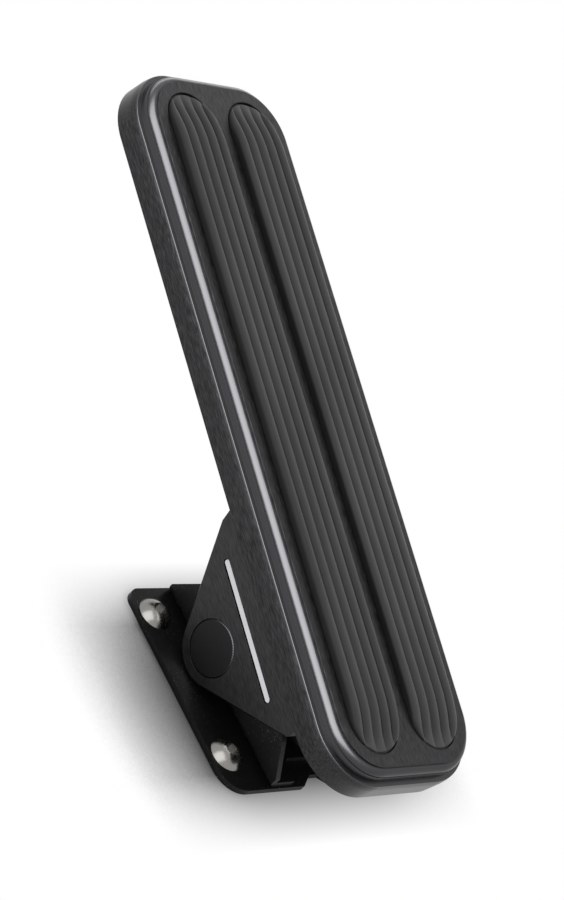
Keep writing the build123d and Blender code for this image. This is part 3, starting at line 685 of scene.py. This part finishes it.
class PEDAL_OT_carrier(bpy.types.Operator):
    """Dress the pivot carrier and model its knurled caps"""
    bl_idname = "pedal.carrier"
    bl_label = "Carrier and caps"

    def execute(self, context):
        pad, _, colours = settings()
        metal = anodised_aluminium("machined_anodised_aluminium", colours.machined, streak=0.5)
        smooth = anodised_aluminium("smooth_anodised_aluminium", colours.cap, streak=0.08)
        # The groove floor takes a lighter shade of the cap's colour: partly polish, partly a painted
        # highlight
        polished = anodised_aluminium("polished_and_highlit_groove_aluminium", shade(colours.cap, GROOVE_POLISH_AND_HIGHLIGHT),
                                      streak=0.08)
        seam = face_matrix() @ Matrix.Translation((0, 0, -pad.thickness))
        edge_broken("pivot_carrier", "carrier", "pedal", "anodised_carrier", metal,
                    offset_mm=0.15, seam=seam)
        for side in (-1, 1):
            self.groove_floor(side, polished)
        for side, node in ((-1, "cap_left"), (1, "cap_right")):
            self.cap(side, node, smooth)
        return {"FINISHED"}

    def groove_floor(self, side, material):
        """The slanted floor of a cheek's groove, polished and lightened by a painted highlight."""
        bm = bmesh.new()
        stadium(bm, GROOVE_WIDTH, GROOVE_LENGTH, 0, 8)
        lean = Matrix.Rotation(side * (math.pi / 2 - GROOVE_LEAN), 4, "Y")
        matrix = pedal_matrix() @ Matrix.Translation(
            (side * (PAD_HALF_WIDTH - GROOVE_SINK), GROOVE_ALONG, GROOVE_UP)) @ lean
        finish_piece(bm, "groove_floor_" + ("left" if side < 0 else "right"), "pedal",
                     "anodised_carrier", material, matrix=matrix)

    def cap(self, side, node, material):
        """A flush cap whose rim carries a fine straight knurl."""
        low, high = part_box(node)
        radius = (high.z - low.z) / 2
        thickness = high.x - low.x
        bm = bmesh.new()
        made = bmesh.ops.create_circle(bm, cap_ends=True, radius=radius,
                                       segments=2 * CAP_TEETH)["verts"]
        for vert in made[::2]:
            vert.co *= 1 - CAP_TOOTH / radius
        face = bm.faces[:][0]
        if face.normal.z < 0:
            face.normal_flip()
        leave_underside(bm, face)
        face = raise_face(bm, face, 0, thickness - CAP_CHAMFER)
        face = raise_face(bm, face, CAP_CHAMFER, CAP_CHAMFER)
        raise_face(bm, face, CAP_BORDER, 0)
        bmesh.ops.remove_doubles(bm, verts=bm.verts, dist=MM / 10000)
        outward = Matrix.Rotation(side * math.pi / 2, 4, "Y")
        inner = low.x + thickness if side < 0 else low.x
        matrix = Matrix.Translation((inner, PIVOT.y, PIVOT.z)) @ outward
        finish_piece(bm, "knurled_" + node, "pedal", "anodised_cap", material, (node,), matrix)


class PEDAL_OT_bracket(bpy.types.Operator):
    """Break the edges of the base plate and the folded bracket and coat them"""
    bl_idname = "pedal.bracket"
    bl_label = "Bracket"

    def execute(self, context):
        _, _, colours = settings()
        coat = coated_steel("powder_coated_steel", colours.coated)
        edge_broken("base_plate", "floor_plate", "bracket", "coated_steel", coat, offset_mm=0.3)
        edge_broken("pivot_bracket", "folded_bracket", "bracket", "coated_steel", coat,
                    offset_mm=0.25)
        dress("bracket_rivets", coat)
        return {"FINISHED"}


class PEDAL_OT_fasteners(bpy.types.Operator):
    """Dress the floor screws, the carrier screws and the stop screw with its nut"""
    bl_idname = "pedal.fasteners"
    bl_label = "Fasteners"

    def execute(self, context):
        _, _, colours = settings()
        stainless = turned_metal("polished_stainless", colours.stainless, 0.26)
        dress("floor_screws", stainless)
        zinc = turned_metal("zinc_plated_steel", colours.zinc, 0.33)
        for node in ("carrier_screws", "stop_screw", "stop_nut"):
            dress(node, zinc)
        return {"FINISHED"}


class PEDAL_OT_pivot(bpy.types.Operator):
    """Dress the shaft, bushes, rings, sleeve, springs and buffer"""
    bl_idname = "pedal.pivot"
    bl_label = "Pivot, springs and buffer"

    def execute(self, context):
        _, _, colours = settings()
        dress("pivot_shaft", turned_metal("ground_shaft_steel", colours.ground, 0.25))
        spring = turned_metal("blackened_spring_steel", colours.spring, 0.38)
        for node in ("spring_left", "spring_right", "ring_left", "ring_right"):
            dress(node, spring)
        bronze = turned_metal("sintered_bronze", colours.bronze, 0.5, 3.0, 0.2)
        for node in ("bush_left", "bush_right"):
            dress(node, bronze)
        dress("spacer_sleeve", moulded_nylon("moulded_nylon", colours.nylon))
        dress("rest_bumper", moulded_rubber("matt_buffer_rubber", colours.rubber, 0.65))
        return {"FINISHED"}


class PEDAL_OT_stage(bpy.types.Operator):
    """Set up the pale floor, the studio lights, the world and the camera"""
    bl_idname = "pedal.stage"
    bl_label = "Stage, lights and camera"

    def execute(self, context):
        _, _, colours = settings()
        self.floor(colours)
        self.world()
        for light in STUDIO_LIGHTS:
            self.light(*light)
        self.camera()
        return {"FINISHED"}

    def floor(self, colours):
        """A wide floor with the bracket standing on it."""
        bm = bmesh.new()
        bmesh.ops.create_grid(bm, x_segments=1, y_segments=1, size=FLOOR_HALF_WIDTH)
        mesh = bpy.data.meshes.new("floor")
        bm.to_mesh(mesh)
        bm.free()
        mesh.materials.append(studio_floor("pale_studio_floor", colours.floor))
        floor = bpy.data.objects.new("floor", mesh)
        bpy.context.scene.collection.objects.link(floor)

    def world(self):
        """Dim even light on the object; the camera and mirroring surfaces see white."""
        world = bpy.data.worlds.new("studio")
        bpy.context.scene.world = world
        world.use_nodes = True
        tree = world.node_tree
        tree.nodes.clear()
        around = add(tree, "ShaderNodeBackground", {"Color": WHITE, "Strength": WORLD_STRENGTH})
        seen = add(tree, "ShaderNodeBackground", {"Color": WHITE, "Strength": 1.0})
        mixed = add(tree, "ShaderNodeMixShader", {0: seen_directly(tree), 1: around.outputs[0],
                                                  2: seen.outputs[0]})
        add(tree, "ShaderNodeOutputWorld", {"Surface": mixed.outputs[0]})

    def light(self, name, direction, distance, width, height, power, kind):
        """A rectangular soft box that faces the pad: for the gleam of anodised pieces, the shine
        of all pieces or their matt shading."""
        data = bpy.data.lights.new(name, "AREA")
        data.shape = "RECTANGLE"
        data.size = width
        data.size_y = height
        data.energy = power
        lamp = bpy.data.objects.new(name, data)
        lamp.visible_diffuse = kind == "matt"
        lamp.visible_glossy = kind != "matt"
        if kind == "gleam":
            lamp.light_linking.receiver_collection = gleaming()
        frame = face_matrix()
        back = (frame.to_3x3() @ Vector(direction)).normalized()
        along = (frame.to_3x3() @ Vector((0, 1, 0))).normalized()
        side = along.cross(back).normalized()
        turn = Matrix((side, back.cross(side), back)).transposed().to_4x4()
        lamp.matrix_world = Matrix.Translation(frame.to_translation() + distance * back) @ turn
        bpy.context.scene.collection.objects.link(lamp)

    def camera(self):
        """The photograph's view: from the left, above and in front, rolled."""
        data = bpy.data.cameras.new("camera")
        data.lens = CAMERA_LENS_MM
        data.sensor_width = CAMERA_SENSOR_MM
        data.clip_start = CAMERA_NEAREST
        camera = bpy.data.objects.new("camera", data)
        camera.location = Vector(CAMERA_PLACE_MM) * MM
        camera.rotation_euler = [math.radians(a) for a in CAMERA_TURN_DEGREES]
        bpy.context.scene.collection.objects.link(camera)
        bpy.context.scene.camera = camera
        bpy.context.scene.view_settings.view_transform = "Standard"


class PEDAL_PT_panel(bpy.types.Panel):
    """Lists the pedal's pieces in the sidebar"""
    bl_label = "Accelerator Pedal"
    bl_space_type = "VIEW_3D"
    bl_region_type = "UI"
    bl_category = "Pedal"

    def draw(self, context):
        for group in settings():
            box = self.layout.box()
            for name in group.__annotations__:
                box.prop(group, name)
        for operator in OPERATORS:
            self.layout.operator(operator.bl_idname)


GROUPS = (("pedal_pad_sizes", PadSizes), ("pedal_insert_sizes", InsertSizes),
          ("pedal_colours", PedalColours))
OPERATORS = (PEDAL_OT_stage, PEDAL_OT_pad, PEDAL_OT_inserts, PEDAL_OT_carrier,
             PEDAL_OT_bracket, PEDAL_OT_fasteners, PEDAL_OT_pivot)


def register():
    for name, group in GROUPS:
        bpy.utils.register_class(group)
        setattr(bpy.types.Scene, name, bpy.props.PointerProperty(type=group))
    for operator in OPERATORS:
        bpy.utils.register_class(operator)
    bpy.utils.register_class(PEDAL_PT_panel)


def unregister():
    bpy.utils.unregister_class(PEDAL_PT_panel)
    for operator in reversed(OPERATORS):
        bpy.utils.unregister_class(operator)
    for name, group in reversed(GROUPS):
        delattr(bpy.types.Scene, name)
        bpy.utils.unregister_class(group)


def main():
    register()
    bpy.ops.pedal.stage()
    bpy.ops.pedal.pad()
    bpy.ops.pedal.inserts()
    bpy.ops.pedal.carrier()
    bpy.ops.pedal.bracket()
    bpy.ops.pedal.fasteners()
    bpy.ops.pedal.pivot()


if __name__ == "__main__":
    main()
